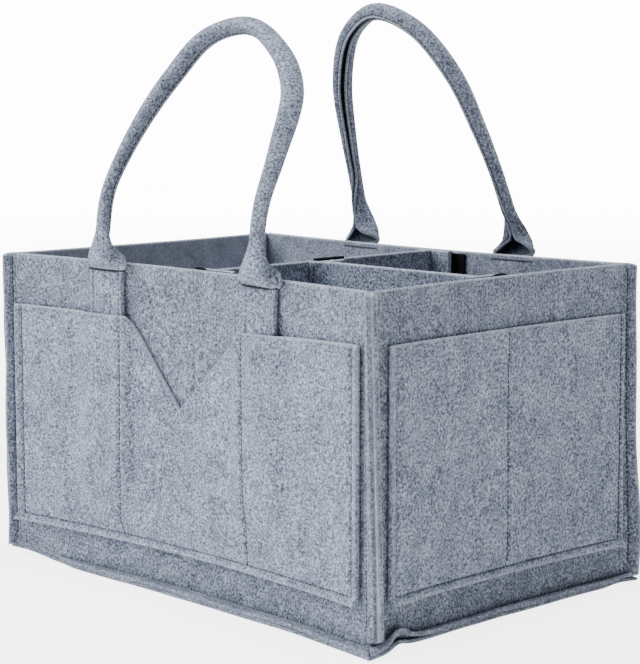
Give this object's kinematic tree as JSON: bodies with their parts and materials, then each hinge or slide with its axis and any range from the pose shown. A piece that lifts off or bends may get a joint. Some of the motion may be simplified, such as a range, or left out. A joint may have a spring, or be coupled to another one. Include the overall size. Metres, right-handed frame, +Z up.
{
  "type": "felt diaper caddy",
  "caption": "Open felt box with rolled carrying handles, stitched outside pockets, standing corner seams and lift-out dividers held by hook-and-loop tape.",
  "frame": {"origin": "on the ground under the middle of the base panel", "axes": "+Z up; +X along the long panels, towards the end with the half divider; the front panel faces -Y"},
  "size_m": [0.3162, 0.2272, 0.3323],
  "materials": {
    "felt": "matt mottled grey wool-look felt",
    "tape": "matt black hook-and-loop tape"
  },
  "bodies": {
    "shell": {"front_panel": "felt", "back_panel": "felt", "left_panel": "felt", "right_panel": "felt", "base_panel": "felt", "front_pocket": "felt", "back_pocket": "felt", "left_pocket": "felt", "right_pocket": "felt", "front_strap_left": "felt", "front_strap_right": "felt", "back_strap_left": "felt", "back_strap_right": "felt", "front_loop_tape": "tape", "back_loop_tape": "tape", "right_loop_tape": "tape"},
    "front_handle_body": {"front_handle": "felt"},
    "back_handle_body": {"back_handle": "felt"},
    "cross_divider_body": {"cross_divider": "felt", "cross_divider_loop_tape": "tape", "cross_divider_front_hook_tape": "tape", "cross_divider_back_hook_tape": "tape"},
    "half_divider_body": {"half_divider": "felt", "half_divider_inner_hook_tape": "tape", "half_divider_outer_hook_tape": "tape"}
  },
  "joints": [
    {"name": "front_handle_swing", "type": "hinge", "parent": "shell", "child": "front_handle_body", "pos_m": [0, -0.10504, 0.185], "axis": [1, 0, 0], "range_deg": [-12, 150]},
    {"name": "back_handle_swing", "type": "hinge", "parent": "shell", "child": "back_handle_body", "pos_m": [0, 0.10504, 0.185], "axis": [1, 0, 0], "range_deg": [-150, 20]},
    {"name": "cross_divider_lift", "type": "slide", "parent": "shell", "child": "cross_divider_body", "axis": [0, 0, 1], "range_m": [0, 0.08]},
    {"name": "half_divider_lift", "type": "slide", "parent": "shell", "child": "half_divider_body", "axis": [0, 0, 1], "range_m": [0, 0.08]}
  ]
}
